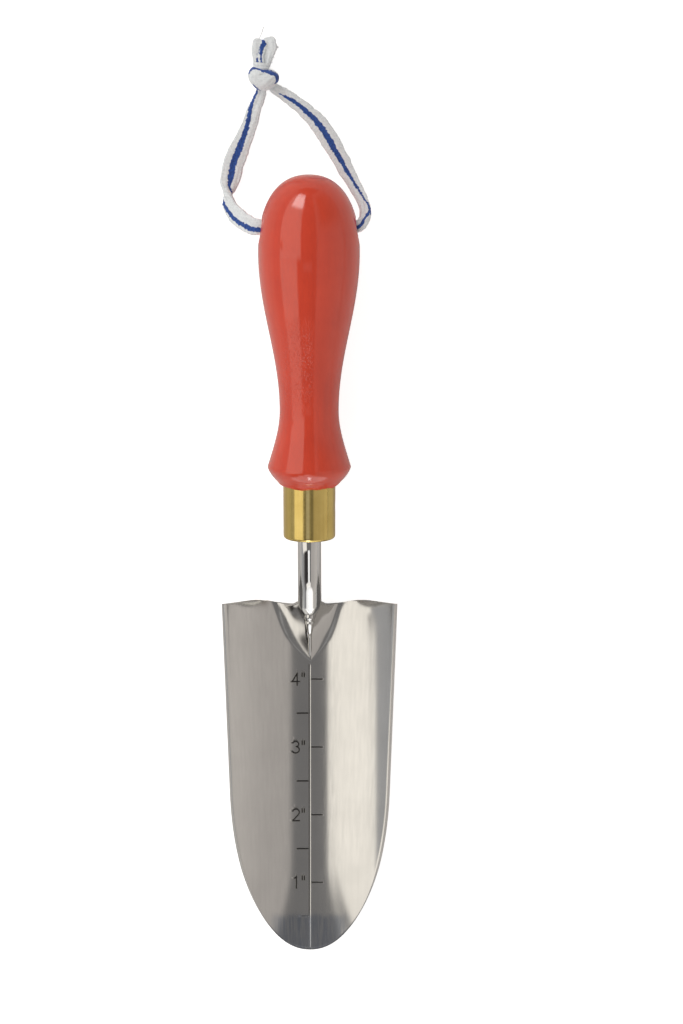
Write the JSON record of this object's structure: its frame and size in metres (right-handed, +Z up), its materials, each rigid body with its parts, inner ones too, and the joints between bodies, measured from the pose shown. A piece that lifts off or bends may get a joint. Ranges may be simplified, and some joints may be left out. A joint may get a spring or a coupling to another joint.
{
  "type": "hand trowel",
  "caption": "Hand trowel with a pressed stainless trough blade, cranked neck, brass ferrule, turned painted wooden handle and a knotted tape hanging loop.",
  "frame": {"origin": "centre of the trowel's footprint on the table it lies on, without its hanging loop", "axes": "+Y from the blade's tip to the handle's butt, +Z up out of the blade's hollow side, +X to the right seen from above with the handle at the top"},
  "size_m": [0.0644, 0.3375, 0.0366],
  "materials": {
    "stainless_steel": "polished, fine lengthwise grain",
    "brass": "satin, drawn",
    "handle_paint": "turned wood under gloss red-orange paint",
    "adhesive": "cured resin",
    "cord_tape": "woven cotton tape, white with a blue centre stripe"
  },
  "bodies": {
    "trowel": {"blade": "stainless_steel", "neck_shaft": "stainless_steel", "neck_weld": "stainless_steel", "ferrule": "brass", "handle": "handle_paint", "tang_adhesive": "adhesive"},
    "hanging_loop": {"cord_left": "cord_tape", "cord_right": "cord_tape", "cord_knot": "cord_tape", "cord_tail_left": "cord_tape", "cord_tail_right": "cord_tape"}
  },
  "joints": [
    {"name": "loop_swing", "type": "hinge", "parent": "trowel", "child": "hanging_loop", "pos_m": [0, 0.1262, 0.0183], "axis": [1, 0, 0], "range_deg": [0, 120]}
  ]
}
